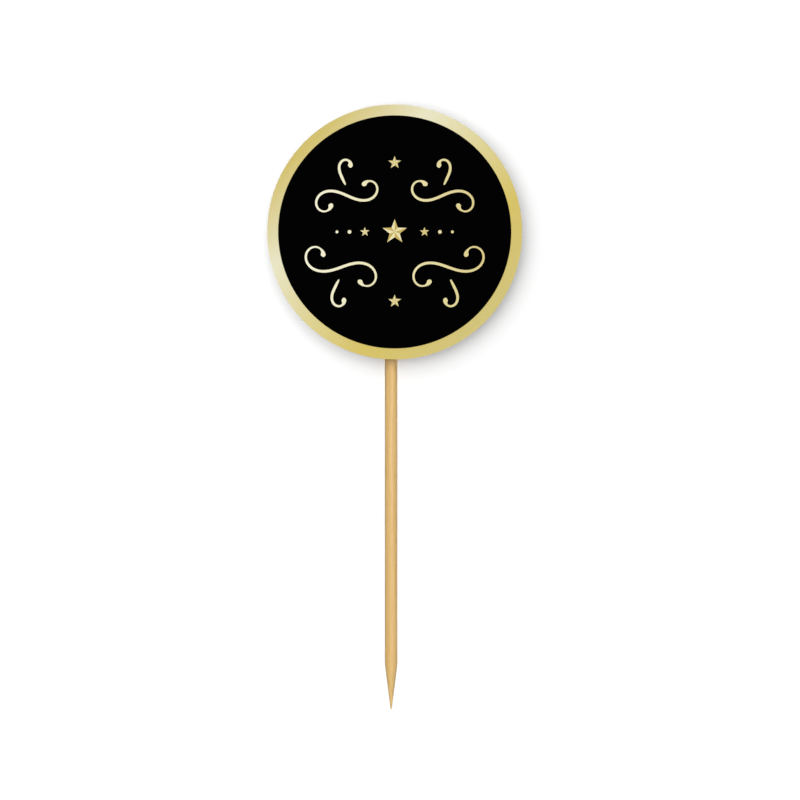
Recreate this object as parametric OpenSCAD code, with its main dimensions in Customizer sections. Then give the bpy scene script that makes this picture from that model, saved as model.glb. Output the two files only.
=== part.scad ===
// Cupcake topper: a round two-layer card with a foil ornament, glued to a sharpened bamboo skewer.
// Z runs up the skewer from its tip, which is the origin. The decorated face looks along -Y.

/* [Skewer] */
// Length from the tip to the butt
skewer_len = 100; // [80:1:150]
// Diameter of the straight shank
skewer_d = 2.5; // [2:0.1:4]
// How much thinner the glued butt end is than the shank
butt_taper = 0.1; // [0.04:0.02:0.4]
// Chamfer round the butt
butt_chamfer = 0.2; // [0.05:0.05:0.5]
// Length of the sharpened point
point_len = 9; // [5:0.1:15]
// How far the flank of the point bulges past a straight cone
point_bulge = 0.02; // [0.01:0.01:0.3]
// Diameter of the blunted tip
tip_d = 0.2; // [0.1:0.05:0.5]

/* [Card] */
// Diameter of the gold base disc
disc_d = 50; // [40:1:80]
// Thickness of the base board
board_t = 0.35; // [0.2:0.05:1]
// Thickness of the gold film on the front of the board
film_t = 0.05; // [0.03:0.01:0.15]
// Width of the gold border left round the black disc
border_w = 2.15; // [1:0.05:5]
// Thickness of the black disc
black_t = 0.3; // [0.2:0.05:1]
// Bevel that the cutting die leaves round the front of the black disc
die_bevel = 0.1; // [0.04:0.02:0.16]
// Thickness of the double-sided tape behind the black disc
tape_t = 0.1; // [0.05:0.01:0.3]
// How far the tape stops short of the edge of the black disc
tape_inset = 0.8; // [0.2:0.1:3]
// How far the skewer reaches up behind the card
skewer_overlap = 31.2; // [22:0.2:36]
// Length of the tapered butt that shows below the card
taper_start = 0.6; // [0.4:0.1:2]
// Sideways offset of the card from the skewer
card_shift = 0.7; // [0:0.05:2]

/* [Glue] */
// Thickness of the glue between the skewer and the board
glue_film = 0.1; // [0.05:0.01:0.3]
// Height of the glue bead on the board, at its middle
glue_h = 2.9; // [2:0.1:4]
// Width of the glue bead on the board, at its middle
glue_w = 7; // [5:0.2:10]
// Distance from the lower edge of the card to the bead
glue_edge_gap = 3.5; // [2:0.1:6]
// Distance from the bead to the butt of the skewer
glue_butt_gap = 4; // [1:0.1:6]

/* [Foil ornament] */
// Thickness of the foil
foil_t = 0.05; // [0.03:0.01:0.15]
// Clear black margin outside the ornament
ornament_margin = 4; // [2:0.2:6]
// Width of a stroke at its middle
stroke_w = 0.54; // [0.4:0.02:0.8]
// Width of a stroke where it is finest
hair_w = 0.26; // [0.16:0.02:0.36]
// Diameter of the drop that ends a stroke
drop_d = 0.96; // [0.6:0.02:1.2]
// Radius of the middle star, over its points
star_r = 2.5; // [1.5:0.1:3]
// Radius of the stars at the top and foot
end_star_r = 1.3; // [0.8:0.1:1.8]
// Radius of the stars at the sides
side_star_r = 0.95; // [0.6:0.05:1.2]
// Diameter of the larger dots
large_dot_d = 0.72; // [0.4:0.02:1]
// Diameter of the smaller dots
small_dot_d = 0.56; // [0.3:0.02:0.8]

/* [Hidden] */
$fn = 96;
// Segments in a full turn of the two long shallow arcs
long_arc_fn = 720;

skewer_r = skewer_d / 2;
butt_r = skewer_r - butt_taper / 2;
tip_r = tip_d / 2;

// Heights along the skewer
card_foot = skewer_len - skewer_overlap;
card_z = card_foot + disc_d / 2;
shank_top = card_foot - taper_start;

// Depth of the back face of each layer in front of the skewer's axis
board_back = skewer_r + glue_film;
film_back = board_back + board_t;
tape_back = film_back + film_t;
black_back = tape_back + tape_t;
foil_back = black_back + black_t;

black_r = disc_d / 2 - border_w;
tape_r = black_r - tape_inset;
ornament_r = black_r - ornament_margin;

// The flank of the point is an arc through the rim of the tip and the foot of the shank
flank_run = [skewer_r - tip_r, point_len];
flank_chord = norm(flank_run);
flank_r = (pow(flank_chord / 2, 2) + pow(point_bulge, 2)) / (2 * point_bulge);
flank_out = [flank_run.y, -flank_run.x] / flank_chord;
flank_centre = [tip_r, 0] + flank_run / 2 - flank_out * (flank_r - point_bulge);

// The bead is turned from one long arc about an axis that lies inside the card
glue_len = skewer_overlap - glue_edge_gap - glue_butt_gap;
glue_mid_z = card_foot + glue_edge_gap + glue_len / 2;
glue_girth_r = (pow(glue_h, 2) + pow(glue_w / 2, 2)) / (2 * glue_h);
glue_arc_r = (pow(glue_h, 2) + pow(glue_len / 2, 2)) / (2 * glue_h);
glue_axis_depth = board_back + glue_girth_r - glue_h;

// A stroke: its middle point, reach behind and reach ahead, all as shares of the ornament's radius,
// then its heading in the middle, its winding behind and ahead in degrees, and the width of its ends
UPPER_SCROLL = [[0.49, 0.375], 0.60, 0.66, 24, -285, -310, drop_d, drop_d];
UPPER_CURL = [[0.55, 0.57], 0.09, 0.33, 66, -4, 255, hair_w, drop_d];
LOWER_SCROLL = [[0.55, -0.365], 0.70, 0.77, -20, 285, 310, drop_d, drop_d];
LOWER_CURL = [[0.62, -0.575], 0.09, 0.36, -64, 4, -255, hair_w, drop_d];
// Steps along each half of a stroke
stroke_steps = 32;
// A drop runs out to the stroke over this many of its radii
drop_tail_ratio = 5;
// How hollow the sides of that tail are
drop_tail_power = 1.6;

// Places of the stars and dots, as shares of the ornament's radius
end_star_reach = 0.72;
side_star_reach = 0.31;
large_dot_reach = 0.47;
small_dot_reach = 0.60;
// Number of points on a star, and its inner radius as a share of the outer one
star_points = 5;
star_waist = 0.42;

// Half width at s along a half stroke: the swelling body, and the drop or round that ends it
function half_width(s, reach, end_w) =
    let (left = reach - abs(s),
        end_r = end_w / 2,
        body = hair_w / 2 + (stroke_w - hair_w) / 2 * (1 - pow(s / reach, 2)),
        tail = end_r * pow(max(0, 1 - (left - end_r) / (drop_tail_ratio * end_r)), drop_tail_power))
    left < end_r ? sqrt(max(0, pow(end_r, 2) - pow(end_r - left, 2))) : max(body, tail);

// Half of an Euler spiral: the curvature grows evenly from the middle of the stroke to its end
// Each sample is its point, its heading and its half width
function half_stroke(start, heading, reach, turn, end_w, way) =
    let (at = [for (i = [0:stroke_steps]) way * reach * sin(90 * i / stroke_steps)],
        hop = [for (i = [1:stroke_steps])
            let (s = (at[i] + at[i - 1]) / 2, a = heading + turn * pow(s / reach, 2))
            (at[i] - at[i - 1]) * [cos(a), sin(a)]],
        path = [for (i = 0, p = start; i <= stroke_steps; p = i < stroke_steps ? p + hop[i] : p, i = i + 1) p])
    [for (i = [0:stroke_steps])
        [path[i], heading + turn * pow(at[i] / reach, 2), half_width(at[i], reach, end_w)]];

// Point to one side of a sample, at its half width
function edge_point(q, side) = q[0] + side * q[2] * [-sin(q[1]), cos(q[1])];

// Closed outline of a whole stroke, up one side and back down the other
function stroke_outline(k) =
    let (r = ornament_r,
        behind = half_stroke(r * k[0], k[3], r * k[1], k[4], k[6], -1),
        ahead = half_stroke(r * k[0], k[3], r * k[2], k[5], k[7], 1),
        n = stroke_steps,
        run = [for (i = [-n:n]) i < 0 ? behind[-i] : ahead[i]])
    concat(
        [for (i = [0:2 * n]) edge_point(run[i], 1)],
        [for (i = [2 * n - 1:-1:1]) edge_point(run[i], -1)]);

function star_outline(r) =
    [for (i = [0:2 * star_points - 1])
        let (a = 90 + 180 * i / star_points)
        (i % 2 == 0 ? r : r * star_waist) * [cos(a), sin(a)]];

// Lays a shape drawn in the XY plane on the card, facing forward, with its back at the given depth
module on_card(depth) {
    translate([card_shift, -depth, card_z])
        rotate([90, 0, 0])
            children();
}

module foil() {
    color("khaki")
        on_card(foil_back)
            linear_extrude(foil_t)
                children();
}

module foil_stroke(k) {
    foil() polygon(stroke_outline(k));
}

module foil_stroke_mirrored(k) {
    foil() mirror([1, 0]) polygon(stroke_outline(k));
}

// Bamboo skewer: bulged point, straight shank, slightly drawn-in butt with a chamfer
module skewer() {
    color("burlywood")
        rotate_extrude()
            skewer_profile();
}

module skewer_profile() {
    intersection() {
        translate(flank_centre) circle(flank_r, $fn = long_arc_fn);
        square([skewer_r, point_len]);
    }
    polygon([
        [0, point_len],
        [skewer_r, point_len],
        [skewer_r, shank_top],
        [butt_r, skewer_len - butt_chamfer],
        [butt_r - butt_chamfer, skewer_len],
        [0, skewer_len]
    ]);
}

// White board disc that the skewer is glued to
module base_board() {
    color("white")
        on_card(board_back)
            cylinder(d = disc_d, h = board_t);
}

// Metallised film over the whole front of the board, seen as the gold border
module gold_film() {
    color("gold")
        on_card(film_back)
            cylinder(d = disc_d, h = film_t);
}

// Disc of double-sided tape that holds the black disc
module mounting_tape() {
    color("ivory")
        on_card(tape_back)
            cylinder(r = tape_r, h = tape_t);
}

// Black card disc with a die-cut bevel round its front edge
module black_disc() {
    color("black")
        on_card(black_back)
            rotate_extrude()
                polygon([
                    [0, 0],
                    [black_r, 0],
                    [black_r, black_t - die_bevel],
                    [black_r - die_bevel, black_t],
                    [0, black_t]
                ]);
}

// Bead of hot-melt glue that buries the skewer on the back of the board
module glue_bead() {
    color("oldlace")
        difference() {
            intersection() {
                translate([0, -glue_axis_depth, glue_mid_z])
                    rotate_extrude()
                        glue_profile();
                translate([-glue_w, -board_back, card_foot])
                    cube([2 * glue_w, 2 * glue_w, disc_d]);
            }
            skewer();
        }
}

module glue_profile() {
    intersection() {
        translate([glue_girth_r - glue_arc_r, 0]) circle(glue_arc_r, $fn = long_arc_fn);
        translate([0, -glue_len]) square([2 * glue_girth_r, 2 * glue_len]);
    }
}

module scroll_upper_left() {
    foil_stroke_mirrored(UPPER_SCROLL);
}

module scroll_upper_right() {
    foil_stroke(UPPER_SCROLL);
}

module scroll_lower_left() {
    foil_stroke_mirrored(LOWER_SCROLL);
}

module scroll_lower_right() {
    foil_stroke(LOWER_SCROLL);
}

module curl_upper_left() {
    foil_stroke_mirrored(UPPER_CURL);
}

module curl_upper_right() {
    foil_stroke(UPPER_CURL);
}

module curl_lower_left() {
    foil_stroke_mirrored(LOWER_CURL);
}

module curl_lower_right() {
    foil_stroke(LOWER_CURL);
}

module centre_star() {
    foil() polygon(star_outline(star_r));
}

// Two stars at the top and foot, two at the sides
module small_stars() {
    foil()
        for (side = [-1, 1]) {
            translate([0, side * end_star_reach * ornament_r]) polygon(star_outline(end_star_r));
            translate([side * side_star_reach * ornament_r, 0]) polygon(star_outline(side_star_r));
        }
}

// A pair of dots outside each side star
module dots() {
    foil()
        for (side = [-1, 1]) {
            translate([side * large_dot_reach * ornament_r, 0]) circle(d = large_dot_d);
            translate([side * small_dot_reach * ornament_r, 0]) circle(d = small_dot_d);
        }
}

skewer();
base_board();
gold_film();
mounting_tape();
black_disc();
glue_bead();
scroll_upper_left();
scroll_upper_right();
scroll_lower_left();
scroll_lower_right();
curl_upper_left();
curl_upper_right();
curl_lower_left();
curl_lower_right();
centre_star();
small_stars();
dots();
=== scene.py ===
"""Looks of a round party topper: a layered card disc with a foil ornament, glued to a bamboo skewer.

Lengths are in metres. Z runs up the skewer from its tip, and the decorated face looks along -Y.
"""

import math

import bpy
import numpy as np
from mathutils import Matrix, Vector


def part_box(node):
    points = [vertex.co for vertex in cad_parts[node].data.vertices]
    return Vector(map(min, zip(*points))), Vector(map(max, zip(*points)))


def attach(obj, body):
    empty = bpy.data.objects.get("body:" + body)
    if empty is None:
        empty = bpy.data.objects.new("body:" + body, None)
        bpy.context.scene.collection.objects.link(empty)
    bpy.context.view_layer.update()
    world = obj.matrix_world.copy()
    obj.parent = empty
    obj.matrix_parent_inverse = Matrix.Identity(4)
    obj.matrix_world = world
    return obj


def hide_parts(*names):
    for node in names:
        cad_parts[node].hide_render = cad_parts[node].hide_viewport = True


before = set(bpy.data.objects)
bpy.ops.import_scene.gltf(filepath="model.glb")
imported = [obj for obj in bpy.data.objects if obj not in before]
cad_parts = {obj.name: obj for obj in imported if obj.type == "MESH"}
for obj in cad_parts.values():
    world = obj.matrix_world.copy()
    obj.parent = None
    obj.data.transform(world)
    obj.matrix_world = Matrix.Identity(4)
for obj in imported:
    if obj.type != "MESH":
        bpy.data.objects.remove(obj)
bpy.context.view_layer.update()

MM = 0.001
FULL_TURN = 2 * np.pi


def corners(solid):
    """Lowest and highest corner of a solid of the frame, as arrays."""
    low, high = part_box(solid)
    return np.array(low), np.array(high)


# Sizes and places that the frame gives
skewer_high = corners("skewer")[1]
board_low, board_high = corners("base_board")
film_low, film_high = corners("gold_film")
tape_low, tape_high = corners("mounting_tape")
black_low, black_high = corners("black_disc")
glue_low, glue_high = corners("glue_bead")
foil_low, foil_high = corners("centre_star")
SKEWER_LEN = skewer_high[2]
SHANK_R = skewer_high[0]
CARD_X = (board_low[0] + board_high[0]) / 2
CARD_Z = (board_low[2] + board_high[2]) / 2
CARD_R = (board_high[0] - board_low[0]) / 2
TAPE_R = (tape_high[0] - tape_low[0]) / 2
BLACK_R = (black_high[0] - black_low[0]) / 2
FOIL_T = foil_high[1] - foil_low[1]

# Skewer
POINT_LEN = 9.0 * MM
POINT_BULGE = 0.02 * MM
TIP_R = 0.1 * MM
TIP_ROUND = 0.09 * MM
# Share of its rounding at which the tip is cut flat
TIP_FLAT = 0.06
BUTT_R = 1.2 * MM
BUTT_CHAMFER = 0.2 * MM
# The shank is straight up to this far below the card, and draws in from there to the butt
TAPER_DROP = 0.6 * MM
SKEWER_COLUMNS = 160
POINT_ROWS = 72
SHANK_ROWS = 200
# Power by which the rows of the point crowd towards the tip
POINT_CROWDING = 1.5
# Fibre grooves round the stick: how many, depth, phase, and how far the phase wanders along it
FIBRES = np.array([
    [9, 0.010 * MM, 0.4, 1.9],
    [17, 0.007 * MM, 2.1, 2.6],
    [29, 0.006 * MM, 4.0, 3.4],
    [41, 0.004 * MM, 5.2, 4.3],
])
FIBRE_WANDER_LEN = 46 * MM
FIBRE_FADE = 2.5 * MM
# Grinding marks wind round the point like a thread with this many starts
GRINDING_STARTS = 2
GRINDING_PITCH = 0.34 * MM
GRINDING_DEPTH = 0.005 * MM
# Length over which the pale tint of the point, partly freshly cut wood and partly painted light, gives way
# to the shank's own colour
CUT_AND_PAINTED_LIGHT_EDGE = 0.8 * MM

# Card layers
DISC_COLUMNS = 288
CENTRE_RING_R = 0.5 * MM
ROUND_STEPS = 7
BOARD_ROLL = 0.02 * MM
BOARD_ROLL_DEPTH = 0.04 * MM
FILM_ROLL = 0.14 * MM
TAPE_SQUEEZE = 0.03 * MM
BLACK_BEVEL = 0.1 * MM
# A narrow ring inside the bevel keeps the printed face flat right up to it
PRINT_LIP = 0.002 * MM

# Glue bead
GLUE_ROWS = 120
GLUE_ARCH_COLUMNS = 48
GLUE_FOOT_COLUMNS = 16
# Powers that shape the bead: how long it stays full, how blunt its ends are, how round its arch is
GLUE_FULLNESS = 2.4
GLUE_BLUNTNESS = 0.7
GLUE_ARCH_POWER = 0.85
# Swells along the bead: share of its size, waves, phase, and how far the phase sways across it
GLUE_SWELLS = np.array([
    [0.05, 11, 0.7, 0.5],
    [0.03, 19, 2.0, -1.0],
])

# Foil ornament
ORNAMENT_R = BLACK_R - 4 * MM
STROKE_W = 0.54 * MM
HAIR_W = 0.26 * MM
DROP_W = 0.96 * MM
STROKE_STEPS = 110
STROKE_COLUMNS = 11
# Length of a drop's tail in radii of the drop, and the power by which it thins
DROP_TAIL = 5
DROP_TAIL_POWER = 1.6
# Height of the foil's cut wall as a share of its thickness
FOIL_WALL = 0.2
STAR_POINTS = 5
STAR_WAIST = 0.42
# Rings of a star: share of its outline, and height as a share of the foil's thickness
STAR_RINGS = np.array([
    [1, 0],
    [1, FOIL_WALL],
    [0.86, 0.75],
])
DOT_COLUMNS = 48
DOT_ROWS = 9
# Share of its radius at which the innermost ring of a dot lies
DOT_INNER = 0.08

# A stroke: middle point and reaches as shares of the ornament's radius, heading, windings, end widths
STROKES = {
    "scroll_upper": ((0.49, 0.375), (0.60, 0.66), 24, (-285, -310), (DROP_W, DROP_W)),
    "curl_upper": ((0.55, 0.57), (0.09, 0.33), 66, (-4, 255), (HAIR_W, DROP_W)),
    "scroll_lower": ((0.55, -0.365), (0.70, 0.77), -20, (285, 310), (DROP_W, DROP_W)),
    "curl_lower": ((0.62, -0.575), (0.09, 0.36), -64, (4, -255), (HAIR_W, DROP_W)),
}
CENTRE_STAR_R = 2.5 * MM
# Small stars: radius, then place right and up as shares of the ornament's radius
SMALL_STARS = [
    (1.3 * MM, 0, 0.72),
    (1.3 * MM, 0, -0.72),
    (0.95 * MM, 0.31, 0),
    (0.95 * MM, -0.31, 0),
]
# Dots: radius, then place to the right as a share of the ornament's radius
DOTS = [
    (0.36 * MM, 0.47),
    (0.36 * MM, -0.47),
    (0.28 * MM, 0.60),
    (0.28 * MM, -0.60),
]

# Angles in degrees past which two faces meet in a sharp edge: plain pieces, strokes and dots, stars
CREASE = 28
FOIL_CREASE = 50
FACET_CREASE = 1

# Framing: the photograph's width, and where the card's circle lies in it, in pixels
PHOTO_W = 800
DISC_PX = 255
DISC_CENTRE_PX = (394.7, 231.98)
LENS = 150
SENSOR_W = 36

# Light: the air's share of plain white light
AMBIENT = 0.28
# Each lamp: its share of plain white light, the way towards it, and how wide it looks in degrees
FRONT_LAMP = (0.44, (-0.04, -1.0, 0.5), 60)
TOP_LAMP = (1.05, (0.0, -0.36, 1.0), 24)
SHEEN_LAMP = (1.75, (0.0, -1.0, 0.3), 24)
BACK_LAMP = (0.78, (0.15, 1.0, 0.35), 76)
GLOSS_LAMP = (0.4, (0.35, 1.0, 0.45), 14)
BACKDROP_LAMP = (2.6, (-0.31, -1.0, 0.24), 86)

# Stage: a sheet close behind the card that fades out below it, and a floor below the tip
SHEET_Y = 1.9 * MM
# How far the sheet slants back from right to left, as a slope
SHEET_TURN = 0.011
SHEET_FADE = 6 * MM
SHEET_FADE_DROP = 4 * MM
SHEET_HALF_W = 0.12
SHEET_TOP_Z = 0.2
SHEET_WHITE = 0.35
SHEET_GLOW = 0.07
FLOOR_Z = -25 * MM
FLOOR_HALF_W = 1.5
FLOOR_WHITE = 0.35
FLOOR_GLOW = 0.79


# Meshes

def skin(stacks):
    """Points and faces of closed skins, one for each stack of rings.

    Quads join every ring to the next one, and a fan to a pole point closes each end of a stack.
    """
    points = []
    faces = []
    first = 0
    for rings, poles in stacks:
        rows, columns = rings.shape[:2]
        points.append(np.concatenate([rings.reshape(-1, 3), poles]))
        row = first + columns * np.arange(rows)[:, None]
        here = np.arange(columns)
        there = np.roll(here, -1)
        quads = np.stack([row[:-1] + here, row[:-1] + there, row[1:] + there, row[1:] + here], axis=-1)
        foot = np.full(columns, first + rows * columns)
        foot_fan = np.stack([row[0] + there, row[0] + here, foot], axis=-1)
        head_fan = np.stack([row[-1] + here, row[-1] + there, foot + 1], axis=-1)
        faces += quads.reshape(-1, 4).tolist() + foot_fan.tolist() + head_fan.tolist()
        first += rows * columns + 2
    return np.concatenate(points), faces


def ring_means(rings):
    """Pole points for a stack whose ends are flat: the mean of the first and of the last ring."""
    return rings[[0, -1]].mean(axis=1)


def add_piece(name, solid, stacks, material, crease=CREASE):
    """Makes a closed piece from its stacks of rings, in place of a solid of the frame."""
    points, faces = skin(stacks)
    mesh = bpy.data.meshes.new(name)
    mesh.from_pydata(points, [], faces)
    mesh.polygons.foreach_set("use_smooth", np.ones(len(faces), bool))
    mesh.set_sharp_from_angle(angle=math.radians(crease))
    mesh.materials.append(material)
    piece = bpy.data.objects.new(name, mesh)
    bpy.context.scene.collection.objects.link(piece)
    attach(piece, "root")
    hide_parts(solid)
    return piece


def tag(piece, name, domain, values):
    """Stores one number for each point or face of a piece, for its material to read."""
    layer = piece.data.attributes.new(name, "FLOAT", domain)
    layer.data.foreach_set("value", np.asarray(values, np.float32))


def ease(x):
    """Smooth step: 0 up to 0, 1 from 1 on, and a cubic that is level at both ends between them."""
    x = np.clip(x, 0, 1)
    return x * x * (3 - 2 * x)


# Skewer

def skewer_radius(z):
    """Radius up the skewer: a bulged arc for the point, a straight shank, a drawn-in butt and its chamfer.

    The arc runs through the rim of the tip and the foot of the shank, and the tip itself is rounded off.
    """
    run = np.array([SHANK_R - TIP_R, POINT_LEN])
    chord = np.hypot(*run)
    arc_r = (chord**2 / 4 + POINT_BULGE**2) / (2 * POINT_BULGE)
    outward = np.array([run[1], -run[0]]) / chord
    centre = np.array([TIP_R, 0]) + run / 2 - outward * (arc_r - POINT_BULGE)
    flank = centre[0] + np.sqrt(np.maximum(arc_r**2 - (z - centre[1]) ** 2, 0))
    tip = np.sqrt(1 - (1 - np.clip(z / TIP_ROUND, TIP_FLAT, 1)) ** 2)
    stops = [POINT_LEN, board_low[2] - TAPER_DROP, SKEWER_LEN - BUTT_CHAMFER, SKEWER_LEN]
    radii = [SHANK_R, SHANK_R, BUTT_R, BUTT_R - BUTT_CHAMFER]
    return np.where(z < POINT_LEN, np.minimum(flank, SHANK_R) * tip, np.interp(z, stops, radii))


def skewer_stack():
    """Rings up the skewer: its radius less the fibre grooves and, on the point, less the grinding marks.

    A groove is a cosine round the stick whose phase wanders along it, so it closes at the seam.
    """
    point = POINT_LEN * np.linspace(0, 1, POINT_ROWS, endpoint=False) ** POINT_CROWDING
    shank = np.linspace(POINT_LEN, SKEWER_LEN - BUTT_CHAMFER, SHANK_ROWS)
    z = np.concatenate([point, shank, [SKEWER_LEN]])[:, None]
    turn = np.linspace(0, FULL_TURN, SKEWER_COLUMNS, endpoint=False)
    count, depth, phase, wander = FIBRES.T[:, :, None, None]
    groove = count * turn + phase + wander * np.sin(FULL_TURN * z / FIBRE_WANDER_LEN + phase)
    past_tip = ease(z / FIBRE_FADE)
    fibres = past_tip * (depth * (1 + np.cos(groove)) / 2).sum(axis=0)
    on_point = past_tip * (1 - ease((z - POINT_LEN + FIBRE_FADE) / FIBRE_FADE))
    thread = FULL_TURN * z / GRINDING_PITCH + GRINDING_STARTS * turn
    grinding = on_point * GRINDING_DEPTH * (1 + np.cos(thread)) / 2
    radius = skewer_radius(z) - fibres - grinding
    height = np.broadcast_to(z, radius.shape)
    rings = np.stack([radius * np.cos(turn), radius * np.sin(turn), height], axis=-1)
    return rings, ring_means(rings)


# Card layers

def on_card(right, up, depth):
    """Points on the card, from places measured from its centre and a depth along Y."""
    right, up, depth = np.broadcast_arrays(right, up, depth)
    return np.stack([CARD_X + right, depth, CARD_Z + up], axis=-1)


def disc_stack(profile):
    """Rings of a disc: each point of its profile, a radius and a depth, goes round the card's centre."""
    radius, depth = np.array(profile).T[:, :, None]
    turn = np.linspace(0, FULL_TURN, DISC_COLUMNS, endpoint=False)
    rings = on_card(radius * np.cos(turn), radius * np.sin(turn), depth)
    return rings, ring_means(rings)


def rounded_edge(outer_r, run, back, front):
    """Profile points of an edge that rolls from its outer radius to the front face on a quarter ellipse."""
    turn = np.linspace(0, np.pi / 2, ROUND_STEPS)
    radius = outer_r - run * (1 - np.cos(turn))
    depth = back + (front - back) * np.sin(turn)
    return np.stack([radius, depth], axis=1).tolist()


def board_profile():
    """White board: flat back, a cut edge that rolls a little at the back, flat front."""
    back, front = board_high[1], board_low[1]
    cut = rounded_edge(CARD_R, BOARD_ROLL, back - BOARD_ROLL_DEPTH, back)[::-1]
    return [[CENTRE_RING_R, back], *cut, [CARD_R, front], [CENTRE_RING_R, front]]


def film_profile():
    """Gold film: flat, with its front drawn down to the board round the cut edge."""
    back, front = film_high[1], film_low[1]
    return [[CENTRE_RING_R, back], *rounded_edge(CARD_R, FILM_ROLL, back, front), [CENTRE_RING_R, front]]


def tape_profile():
    """Tape: flat, with an edge that is squeezed out in the middle on a parabola."""
    back, front = tape_high[1], tape_low[1]
    across = np.linspace(-1, 1, ROUND_STEPS)
    radius = TAPE_R - TAPE_SQUEEZE * across**2
    depth = (back + front) / 2 + across * (front - back) / 2
    edge = np.stack([radius, depth], axis=1).tolist()
    return [[CENTRE_RING_R, back], *edge, [CENTRE_RING_R, front]]


def black_profile():
    """Black card: flat back, upright cut wall, a bevel that the die rolled over, flat printed front."""
    back, front = black_high[1], black_low[1]
    bevel = rounded_edge(BLACK_R, BLACK_BEVEL, front + BLACK_BEVEL, front)
    printed_r = BLACK_R - BLACK_BEVEL - PRINT_LIP
    return [[CENTRE_RING_R, back], [BLACK_R, back], *bevel, [printed_r, front], [CENTRE_RING_R, front]]


def black_core():
    """How bare each point of the black card is: 1 on its back and up its cut wall, 0 where it is printed.

    The points go ring by ring along the profile, and the poles of the back and of the front come last.
    """
    by_ring = [1, 1, 1, *np.zeros(ROUND_STEPS + 1)]
    return np.concatenate([np.repeat(by_ring, DISC_COLUMNS), [1, 0]])


# Glue bead

def glue_stack():
    """Sections up the bead: an arch over the skewer, closed by a flat foot on the board.

    Width and height fall to nothing at both ends, with slow swells where the glue was laid in dabs.
    """
    way = np.sin(np.pi / 2 * np.linspace(-1, 1, GLUE_ROWS + 2)[1:-1, None])
    arch = np.linspace(0, np.pi, GLUE_ARCH_COLUMNS)
    share, waves, phase, sway = GLUE_SWELLS.T[:, :, None, None]
    swell = 1 + (share * np.cos(waves * way + phase + sway * np.cos(arch))).sum(axis=0)
    fullest = 1 + GLUE_SWELLS[:, 0].sum()
    size = (1 - np.abs(way) ** GLUE_FULLNESS) ** GLUE_BLUNTNESS * swell / fullest
    half_w = (glue_high[0] - glue_low[0]) / 2
    height = glue_high[1] - glue_low[1]
    x = half_w * size * np.cos(arch)
    y = glue_low[1] + height * size * np.sin(arch) ** GLUE_ARCH_POWER
    across_foot = np.linspace(0, 1, GLUE_FOOT_COLUMNS + 2)[1:-1]
    foot_x = x[:, -1:] + (x[:, :1] - x[:, -1:]) * across_foot
    x = np.concatenate([x, foot_x], axis=1)
    y = np.concatenate([y, np.full_like(foot_x, glue_low[1])], axis=1)
    z = (glue_low[2] + glue_high[2]) / 2 + (glue_high[2] - glue_low[2]) / 2 * way
    rings = np.stack([x, y, np.broadcast_to(z, x.shape)], axis=-1)
    return rings, ring_means(rings)


# Foil ornament

def on_foil(right, up, rise):
    """Points of the foil, from places on the card and a rise as a share of the foil's thickness."""
    return on_card(right, up, foil_high[1] - FOIL_T * rise)


def half_width(to_end, share, end_w):
    """Half the width of a stroke: a body that swells in the middle, or the drop that ends it where wider.

    The drop is a half circle, then a hollow-sided tail that runs out into the stroke.
    """
    end_r = end_w / 2
    body = HAIR_W / 2 + (STROKE_W - HAIR_W) / 2 * (1 - share**2)
    tail = end_r * np.clip(1 - (to_end - end_r) / (DROP_TAIL * end_r), 0, 1) ** DROP_TAIL_POWER
    cap = np.sqrt(np.maximum(end_r**2 - (end_r - to_end) ** 2, 0))
    return np.where(to_end < end_r, cap, np.maximum(body, tail))


def half_stroke(middle, heading, reach, winding, end_w, way):
    """Half of an Euler spiral: the heading turns with the square of the way from the middle of the stroke.

    Points are the running sum of the steps, which shorten towards the end as a sine does. The way is 1 for
    the half ahead of the middle and -1 for the half behind it.
    """
    share = np.sin(np.linspace(0, np.pi / 2, STROKE_STEPS + 1))
    between = (share[1:] + share[:-1]) / 2
    angle = np.radians(heading + winding * between**2)
    steps = way * reach * np.diff(share) * np.stack([np.cos(angle), np.sin(angle)])
    path = np.concatenate([np.zeros((2, 1)), np.cumsum(steps, axis=1)], axis=1)
    headings = np.radians(heading + winding * share**2)
    widths = half_width(reach * (1 - share), share, end_w)
    return np.vstack([path + np.reshape(middle, (2, 1)), headings, widths])


def stroke_stack(stroke, side):
    """Sections along a stroke: a flat foot, a low cut wall and a pillowed face, thinner where it is narrow.

    The left copy takes the path mirrored in the card's middle line.
    """
    middle, reaches, heading, windings, ends = stroke
    middle = ORNAMENT_R * np.array(middle)
    behind = half_stroke(middle, heading, ORNAMENT_R * reaches[0], windings[0], ends[0], -1)
    ahead = half_stroke(middle, heading, ORNAMENT_R * reaches[1], windings[1], ends[1], 1)
    right, up, angle, half = np.concatenate([behind[:, :0:-1], ahead], axis=1)[:, :, None]
    if side < 0:
        right = -right
        angle = np.pi - angle
    over = np.linspace(0, np.pi, STROKE_COLUMNS)
    across = half * np.concatenate([np.cos(over), [-1, 1]])
    rise = np.concatenate([FOIL_WALL + (1 - FOIL_WALL) * np.sin(over), [0, 0]])
    fullness = np.minimum(1, 2 * half / HAIR_W)
    rings = on_foil(right - across * np.sin(angle), up + across * np.cos(angle), rise * fullness)
    poles = on_foil(right[[0, -1], 0], up[[0, -1], 0], 0)
    return rings[1:-1], poles


def star_stack(radius, right, up):
    """Rings of a star: foot, cut wall, a bevel to an inset outline, and facets that meet in the middle."""
    corner = np.arange(2 * STAR_POINTS)
    turn = np.pi / 2 + np.pi * corner / STAR_POINTS
    outline = radius * np.where(corner % 2, STAR_WAIST, 1)
    share, rise = STAR_RINGS.T[:, :, None]
    rings = on_foil(right + share * outline * np.cos(turn), up + share * outline * np.sin(turn), rise)
    return rings, on_foil(right, up, np.array([0, 1]))


def star_painted_shade(stars):
    """Painted shade: every other face of each star is painted dark, from its wall to its middle."""
    rounds = len(STAR_RINGS) + 1
    return np.tile(np.arange(2 * STAR_POINTS) % 2, rounds * stars)


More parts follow.
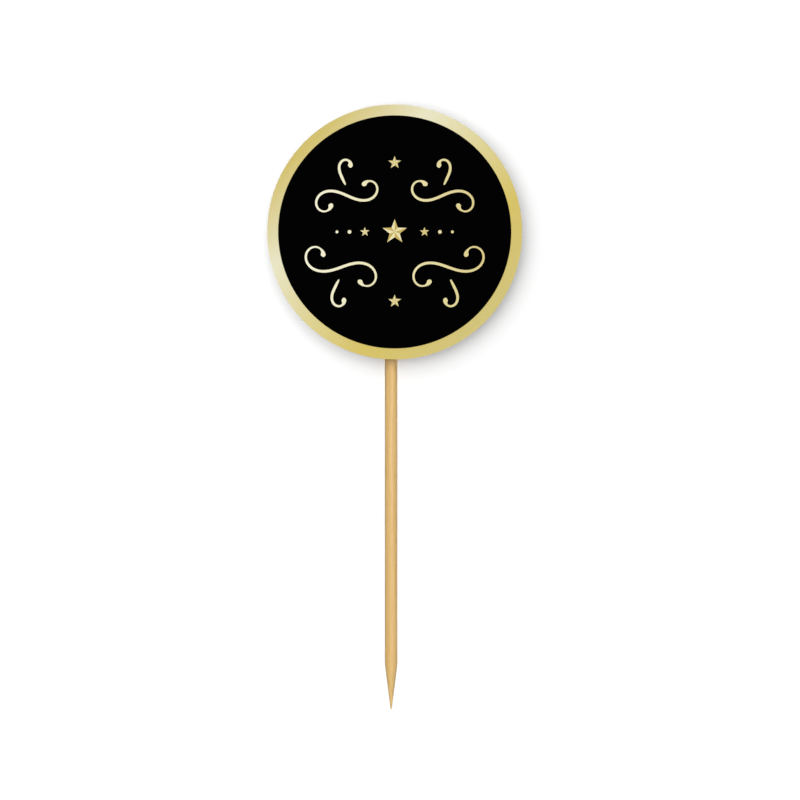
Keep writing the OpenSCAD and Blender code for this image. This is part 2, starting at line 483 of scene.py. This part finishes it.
def dot_stack(radius, right):
    """Rings of a dot: a flat foot, a low cut wall and a cap that falls with the square of the radius."""
    share = np.concatenate([[1], np.linspace(1, DOT_INNER, DOT_ROWS)])[:, None]
    rise = FOIL_WALL + (1 - FOIL_WALL) * (1 - share**2)
    rise[0] = 0
    turn = np.linspace(0, FULL_TURN, DOT_COLUMNS, endpoint=False)
    rings = on_foil(right + radius * share * np.cos(turn), radius * share * np.sin(turn), rise)
    return rings, on_foil(right, 0, np.array([0, 1]))


# Material nodes

def screen(red, green, blue):
    """Linear colour of a screen colour given from 0 to 255, by the standard curve of screens."""
    value = np.array([red, green, blue]) / 255
    linear = np.where(value <= 0.04045, value / 12.92, ((value + 0.055) / 1.055) ** 2.4)
    return (*linear.tolist(), 1)


def node(tree, kind, inputs=None, **settings):
    """Adds a node; an input given as a socket is linked, and any other input is set."""
    made = tree.nodes.new("ShaderNode" + kind)
    for key, value in settings.items():
        setattr(made, key, value)
    for key, value in (inputs or {}).items():
        if isinstance(value, bpy.types.NodeSocket):
            tree.links.new(value, made.inputs[key])
        else:
            made.inputs[key].default_value = value
    return made


def blank(name, **sockets):
    """A material named for its finish, with the given values on its shader."""
    material = bpy.data.materials.new(name)
    material.use_nodes = True
    tree = material.node_tree
    shader = tree.nodes["Principled BSDF"]
    for key, value in sockets.items():
        shader.inputs[key.replace("_", " ")].default_value = value
    return material, tree, shader


def place(tree):
    """Object coordinates, in metres."""
    return node(tree, "TexCoord").outputs["Object"]


def grain(tree, size, detail=3.0, roughness=0.5, distortion=0.0):
    """Noise whose lumps measure size along X, Y and Z."""
    scaled = node(tree, "Mapping", {"Vector": place(tree), "Scale": [1 / s for s in size]})
    noise = node(tree, "TexNoise", {
        "Vector": scaled.outputs["Vector"],
        "Scale": 1.0,
        "Detail": detail,
        "Roughness": roughness,
        "Distortion": distortion,
    })
    return noise.outputs["Fac"]


def ramp(tree, value, stops):
    """Colour ramp with the given stops, each a position and a colour."""
    made = node(tree, "ValToRGB", {"Fac": value})
    elements = made.color_ramp.elements
    elements[0].position, elements[0].color = stops[0]
    elements[1].position, elements[1].color = stops[-1]
    for position, colour in stops[1:-1]:
        elements.new(position).color = colour
    return made.outputs["Color"]


def spread(tree, value, given, wanted):
    """A value carried from a given range to a wanted one, and held at its ends."""
    made = node(tree, "MapRange", {
        "Value": value,
        "From Min": given[0],
        "From Max": given[1],
        "To Min": wanted[0],
        "To Max": wanted[1],
    })
    return made.outputs["Result"]


def blend(tree, share, under, over, mode="MIX"):
    """Two colours mixed by a share; a colour mix has them at its inputs 0, 6 and 7, and its result at 2."""
    made = node(tree, "Mix", {0: share, 6: under, 7: over}, data_type="RGBA", blend_type=mode)
    return made.outputs[2]


def combine(tree, operation, first, second):
    """Two values combined by an operation of arithmetic."""
    return node(tree, "Math", {0: first, 1: second}, operation=operation).outputs[0]


def bump(tree, shader, height, depth, strength=1.0):
    """Surface relief of the given depth."""
    made = node(tree, "Bump", {"Height": height, "Distance": depth, "Strength": strength})
    tree.links.new(made.outputs["Normal"], shader.inputs["Normal"])


# Materials

def bamboo_culm():
    """Culm wood: honey streaks, fine fibres and short brown strands, all stretched along the skewer.

    Its left side is painted deeper as painted shade, and the point is paler, partly as freshly cut wood and
    partly as painted light on a flank that faces a little away from the lamps.
    """
    material, tree, shader = blank("bamboo_culm", Specular_IOR_Level=0.2)
    streaks = grain(tree, (0.55 * MM, 0.55 * MM, 30 * MM), detail=2.0)
    fibres = grain(tree, (0.14 * MM, 0.14 * MM, 7 * MM), detail=3.0, roughness=0.6)
    strands = grain(tree, (0.10 * MM, 0.10 * MM, 3 * MM), detail=1.0)
    wood = ramp(tree, streaks, [
        (0.36, screen(225, 184, 115)),
        (0.50, screen(231, 192, 125)),
        (0.64, screen(235, 198, 134)),
    ])
    fine = ramp(tree, fibres, [(0.35, screen(238, 230, 216)), (0.6, screen(255, 255, 255))])
    wood = blend(tree, 0.5, wood, fine, "MULTIPLY")
    wood = blend(tree, spread(tree, strands, (0.64, 0.72), (0, 0.3)), wood, screen(168, 122, 66))
    along = node(tree, "SeparateXYZ", {0: place(tree)}).outputs
    # Painted shade: the left side of the stick is painted deeper
    painted_shade_left = spread(tree, along["X"], (-SHANK_R, SHANK_R), (0.28, 0))
    wood = blend(tree, painted_shade_left, wood, screen(206, 166, 96))
    # Partly painted light: the point is painted paler, as freshly cut wood and to make up for the light its
    # flank loses
    shoulder = (POINT_LEN - CUT_AND_PAINTED_LIGHT_EDGE / 2, POINT_LEN + CUT_AND_PAINTED_LIGHT_EDGE / 2)
    cut = spread(tree, along["Z"], shoulder, (0.52, 0))
    wood = blend(tree, cut, wood, screen(252, 213, 138))
    tree.links.new(wood, shader.inputs["Base Color"])
    tree.links.new(spread(tree, fibres, (0.3, 0.7), (0.62, 0.46)), shader.inputs["Roughness"])
    bump(tree, shader, fibres, 0.02 * MM)
    return material


def uncoated_board():
    """Uncoated white board: cloudy pulp, short fibres and a fine tooth."""
    material, tree, shader = blank("uncoated_board", Roughness=0.85, Specular_IOR_Level=0.2)
    clouds = grain(tree, (4 * MM, 4 * MM, 4 * MM), detail=4.0, roughness=0.6)
    fibres = grain(tree, (0.5 * MM, 0.12 * MM, 0.12 * MM), detail=2.0, distortion=1.2)
    pulp = ramp(tree, clouds, [(0.3, screen(243, 241, 236)), (0.7, screen(248, 247, 243))])
    pulp = blend(tree, spread(tree, fibres, (0.55, 0.75), (0, 0.5)), pulp, screen(228, 222, 210))
    tree.links.new(pulp, shader.inputs["Base Color"])
    bump(tree, shader, fibres, 0.012 * MM, strength=0.7)
    return material


def metallised_film():
    """Metallised film: bands of pale and deep gold from upper left to lower right, a painted reflection,
    with a satin pull.
    """
    material, tree, shader = blank("metallised_film", Metallic=1.0)
    # Painted reflection: bands of pale and deep gold painted across the film from upper left to lower right
    centred = node(tree, "Mapping", {"Vector": place(tree), "Location": (-CARD_X, 0, -CARD_Z)})
    down_right = (math.sqrt(0.5), 0, -math.sqrt(0.5))
    slope = node(tree, "VectorMath", {0: centred.outputs["Vector"], 1: down_right}, operation="DOT_PRODUCT")
    share = spread(tree, slope.outputs["Value"], (-CARD_R, CARD_R), (0, 1))
    gold = ramp(tree, share, [
        (0.02, screen(214, 195, 114)),
        (0.26, screen(236, 232, 199)),
        (0.50, screen(225, 213, 151)),
        (0.74, screen(217, 196, 105)),
        (0.98, screen(212, 197, 125)),
    ])
    tree.links.new(gold, shader.inputs["Base Color"])
    pull = grain(tree, (1.6 * MM, 1.6 * MM, 1.6 * MM), detail=2.0, roughness=0.4)
    tree.links.new(spread(tree, pull, (0.3, 0.7), (0.27, 0.31)), shader.inputs["Roughness"])
    bump(tree, shader, pull, 0.001 * MM, strength=0.2)
    return material


def tissue_tape():
    """Double-sided tissue tape: milky, with faint long fibres."""
    material, tree, shader = blank("tissue_tape", Roughness=0.5)
    fibres = grain(tree, (0.15 * MM, 0.15 * MM, 2.5 * MM), detail=3.0, roughness=0.6, distortion=0.8)
    tissue = ramp(tree, fibres, [(0.35, screen(228, 222, 204)), (0.65, screen(243, 239, 226))])
    tree.links.new(tissue, shader.inputs["Base Color"])
    bump(tree, shader, fibres, 0.006 * MM)
    return material


def black_print():
    """Matte black print with a fine paper tooth, and pale card where its back and cut edge are bare."""
    material, tree, shader = blank("black_print", Specular_IOR_Level=0.01)
    tooth = grain(tree, (0.16 * MM, 0.16 * MM, 0.16 * MM), detail=4.0, roughness=0.6)
    ink = ramp(tree, tooth, [(0.35, screen(0, 0, 0)), (0.7, screen(5, 5, 5))])
    core = node(tree, "Attribute", attribute_name="core").outputs["Fac"]
    tree.links.new(blend(tree, core, ink, screen(236, 228, 200)), shader.inputs["Base Color"])
    tree.links.new(spread(tree, tooth, (0.3, 0.7), (0.7, 0.9)), shader.inputs["Roughness"])
    bump(tree, shader, tooth, 0.006 * MM, strength=0.6)
    return material


def milky_glue():
    """Hot-melt glue: milky and a little clear, glossy, with a slow ripple in its skin."""
    material, tree, shader = blank(
        "milky_glue",
        Roughness=0.14,
        IOR=1.48,
        Transmission_Weight=0.15,
        Coat_Weight=0.5,
        Coat_Roughness=0.05,
    )
    clouds = grain(tree, (1.6 * MM, 1.6 * MM, 2.4 * MM), detail=3.0, roughness=0.55)
    milk = ramp(tree, clouds, [(0.35, screen(228, 216, 188)), (0.65, screen(244, 237, 220))])
    tree.links.new(milk, shader.inputs["Base Color"])
    bump(tree, shader, clouds, 0.05 * MM, strength=0.3)
    return material


def stamped_foil():
    """Stamped foil: a painted reflection, pale at the left of the ornament and deeper gold at the right.

    The stars carry painted shade: every other face of each star is painted deeper still.
    """
    material, tree, shader = blank("stamped_foil", Metallic=1.0)
    # Painted reflection: the foil is painted pale at the left of the ornament and deeper gold at the right
    across = node(tree, "SeparateXYZ", {0: place(tree)}).outputs["X"]
    share = spread(tree, across, (CARD_X - ORNAMENT_R, CARD_X + ORNAMENT_R), (0, 1))
    gold = ramp(tree, share, [
        (0.05, screen(246, 243, 216)),
        (0.50, screen(238, 229, 180)),
        (0.95, screen(222, 206, 142)),
    ])
    # Painted shade: every other face of each star is painted deeper
    painted_shade_facet = node(tree, "Attribute", attribute_name="painted_shade_facet").outputs["Fac"]
    deeper = blend(tree, 1.0, gold, screen(214, 196, 140), "MULTIPLY")
    tree.links.new(blend(tree, painted_shade_facet, gold, deeper), shader.inputs["Base Color"])
    pull = grain(tree, (0.3 * MM, 0.3 * MM, 0.3 * MM), detail=3.0, roughness=0.6)
    tree.links.new(spread(tree, pull, (0.3, 0.7), (0.2, 0.34)), shader.inputs["Roughness"])
    bump(tree, shader, pull, 0.002 * MM, strength=0.5)
    return material


# The object

def make_skewer():
    """The bamboo pick, from its point to its butt behind the card."""
    add_piece("skewer_wood", "skewer", [skewer_stack()], bamboo_culm())


def make_card():
    """The stack of discs from back to front: board, gold film, tape and black card."""
    add_piece("board_sheet", "base_board", [disc_stack(board_profile())], uncoated_board())
    add_piece("film_sheet", "gold_film", [disc_stack(film_profile())], metallised_film())
    add_piece("tape_sheet", "mounting_tape", [disc_stack(tape_profile())], tissue_tape())
    black = add_piece("black_sheet", "black_disc", [disc_stack(black_profile())], black_print())
    tag(black, "core", "POINT", black_core())


def make_glue():
    """The bead that holds the skewer on the back of the board."""
    add_piece("glue_melt", "glue_bead", [glue_stack()], milky_glue())


def make_ornament():
    """The foil on the black card: the strokes and their mirrored copies, the stars and the dots."""
    foil = stamped_foil()
    for name, stroke in STROKES.items():
        for side, hand in ((1, "right"), (-1, "left")):
            solid = f"{name}_{hand}"
            add_piece(f"foil_{solid}", solid, [stroke_stack(stroke, side)], foil, FOIL_CREASE)
    middle_star = [star_stack(CENTRE_STAR_R, 0, 0)]
    centre = add_piece("foil_centre_star", "centre_star", middle_star, foil, FACET_CREASE)
    tag(centre, "painted_shade_facet", "FACE", star_painted_shade(1))
    stars = [star_stack(radius, right * ORNAMENT_R, up * ORNAMENT_R) for radius, right, up in SMALL_STARS]
    small = add_piece("foil_small_stars", "small_stars", stars, foil, FACET_CREASE)
    tag(small, "painted_shade_facet", "FACE", star_painted_shade(len(stars)))
    dots = [dot_stack(radius, right * ORNAMENT_R) for radius, right in DOTS]
    add_piece("foil_dots", "dots", dots, foil, FOIL_CREASE)


# Stage, light and camera

def seen_ray(tree):
    """1 for rays of the camera and rays that metal or glass sends on, 0 for rays that only carry light."""
    path = node(tree, "LightPath").outputs
    seen = combine(tree, "MAXIMUM", path["Is Camera Ray"], path["Is Glossy Ray"])
    return combine(tree, "MAXIMUM", seen, path["Is Transmission Ray"])


def stage_paper(name, white, glow, fade=None):
    """White paper that keeps shadows and is brought up to white by a glow, and is clear seen from its back.

    A fade gives the height at which it is clear and the height from which it is whole.
    """
    material = bpy.data.materials.new(name)
    material.use_nodes = True
    tree = material.node_tree
    tree.nodes.clear()
    strength = combine(tree, "MULTIPLY", seen_ray(tree), glow)
    paper = node(tree, "BsdfDiffuse", {"Color": (white, white, white, 1)}).outputs[0]
    light = node(tree, "Emission", {"Strength": strength}).outputs[0]
    front = node(tree, "AddShader", {0: paper, 1: light}).outputs[0]
    clear = node(tree, "BsdfTransparent").outputs[0]
    hidden = node(tree, "NewGeometry").outputs["Backfacing"]
    if fade:
        height = node(tree, "SeparateXYZ", {0: place(tree)}).outputs["Z"]
        hidden = combine(tree, "MAXIMUM", hidden, spread(tree, height, fade, (1, 0)))
    both = node(tree, "MixShader", {0: hidden, 1: front, 2: clear}).outputs[0]
    node(tree, "OutputMaterial", {"Surface": both})
    return material


def stage_sheet(name, outline, material):
    """One flat sheet with the given corners."""
    mesh = bpy.data.meshes.new(name)
    mesh.from_pydata(outline, [], [range(len(outline))])
    mesh.materials.append(material)
    sheet = bpy.data.objects.new(name, mesh)
    bpy.context.scene.collection.objects.link(sheet)
    return sheet


def make_stage():
    """A sheet behind the card, which lets light through to the card's back, and a floor below the tip.

    The sheet is turned a little to the left, so that it is clear when seen from the right on its edge.
    """
    whole = board_low[2] - SHEET_FADE_DROP
    clear = whole - SHEET_FADE
    left_y = SHEET_Y + SHEET_HALF_W * SHEET_TURN
    right_y = SHEET_Y - SHEET_HALF_W * SHEET_TURN
    sheet = stage_sheet("backdrop", [
        (-SHEET_HALF_W, left_y, clear),
        (SHEET_HALF_W, right_y, clear),
        (SHEET_HALF_W, right_y, SHEET_TOP_Z),
        (-SHEET_HALF_W, left_y, SHEET_TOP_Z),
    ], stage_paper("backdrop_paper", SHEET_WHITE, SHEET_GLOW, (clear, whole)))
    sheet.visible_diffuse = False
    sheet.visible_glossy = False
    sheet.visible_transmission = False
    sheet.visible_shadow = False
    stage_sheet("floor", [
        (-FLOOR_HALF_W, -FLOOR_HALF_W, FLOOR_Z),
        (FLOOR_HALF_W, -FLOOR_HALF_W, FLOOR_Z),
        (FLOOR_HALF_W, FLOOR_HALF_W, FLOOR_Z),
        (-FLOOR_HALF_W, FLOOR_HALF_W, FLOOR_Z),
    ], stage_paper("floor_paper", FLOOR_WHITE, FLOOR_GLOW))


def add_lamp(name, share, toward, width):
    """A large soft lamp that gives its share of plain white light to a surface that faces it."""
    data = bpy.data.lights.new(name, "SUN")
    data.energy = share * np.pi
    data.angle = math.radians(width)
    lamp = bpy.data.objects.new(name, data)
    bpy.context.scene.collection.objects.link(lamp)
    x, y, z = toward
    lamp.rotation_euler = (math.atan2(math.hypot(x, y), z), 0, math.atan2(x, -y))
    lamp.visible_camera = False
    return lamp


def group(name, piece, state="INCLUDE"):
    """A group of one piece that a lamp reaches, or leaves out."""
    made = bpy.data.collections.new(name)
    made.objects.link(bpy.data.objects[piece])
    made.collection_objects[0].light_linking.link_state = state
    return made


def make_lamps():
    """Soft lamps from the front and from behind, and small helpers for single pieces.

    The back lamp leaves out the film, whose rolled edge would glint in it. The skewer has a lamp above it
    and a lamp for its sheen, and the glue has one for its gloss. The backdrop has a lamp of its own,
    in which only the card throws a shadow.
    """
    skewer_only = group("skewer_only", "skewer_wood")
    front = add_lamp("front_lamp", *FRONT_LAMP)
    front.visible_glossy = False
    front.light_linking.receiver_collection = group("all_but_backdrop", "backdrop", "EXCLUDE")
    top = add_lamp("top_lamp", *TOP_LAMP)
    top.visible_glossy = False
    top.light_linking.receiver_collection = skewer_only
    sheen = add_lamp("sheen_lamp", *SHEEN_LAMP)
    sheen.visible_diffuse = False
    sheen.light_linking.receiver_collection = skewer_only
    back = add_lamp("back_lamp", *BACK_LAMP)
    back.light_linking.receiver_collection = group("all_but_film", "film_sheet", "EXCLUDE")
    gloss = add_lamp("gloss_lamp", *GLOSS_LAMP)
    gloss.visible_diffuse = False
    gloss.light_linking.receiver_collection = group("glue_only", "glue_melt")
    backdrop_lamp = add_lamp("backdrop_lamp", *BACKDROP_LAMP)
    backdrop_lamp.data.cycles.use_multiple_importance_sampling = False
    backdrop_lamp.light_linking.receiver_collection = group("backdrop_only", "backdrop")
    backdrop_lamp.light_linking.blocker_collection = group("card_only", "board_sheet")


def make_air():
    """White air all round: the camera, metal and glass see it in full, and it lights the rest a little."""
    world = bpy.data.worlds.new("studio")
    bpy.context.scene.world = world
    world.use_nodes = True
    tree = world.node_tree
    air = tree.nodes["Background"]
    air.inputs["Color"].default_value = (1, 1, 1, 1)
    tree.links.new(spread(tree, seen_ray(tree), (0, 1), (AMBIENT, 1)), air.inputs["Strength"])


def make_camera():
    """A long lens straight in front, placed so that the card's circle falls where the photograph has it."""
    scale = 2 * CARD_R / DISC_PX
    data = bpy.data.cameras.new("camera")
    data.lens = LENS
    data.sensor_width = SENSOR_W
    data.sensor_fit = "HORIZONTAL"
    camera = bpy.data.objects.new("camera", data)
    bpy.context.scene.collection.objects.link(camera)
    camera.location = (
        CARD_X + (PHOTO_W / 2 - DISC_CENTRE_PX[0]) * scale,
        film_low[1] - PHOTO_W * scale * LENS / SENSOR_W,
        CARD_Z - (PHOTO_W / 2 - DISC_CENTRE_PX[1]) * scale,
    )
    camera.rotation_euler = (math.pi / 2, 0, 0)
    bpy.context.scene.camera = camera


make_skewer()
make_card()
make_glue()
make_ornament()
make_stage()
make_lamps()
make_air()
make_camera()
bpy.context.scene.view_settings.view_transform = "Standard"
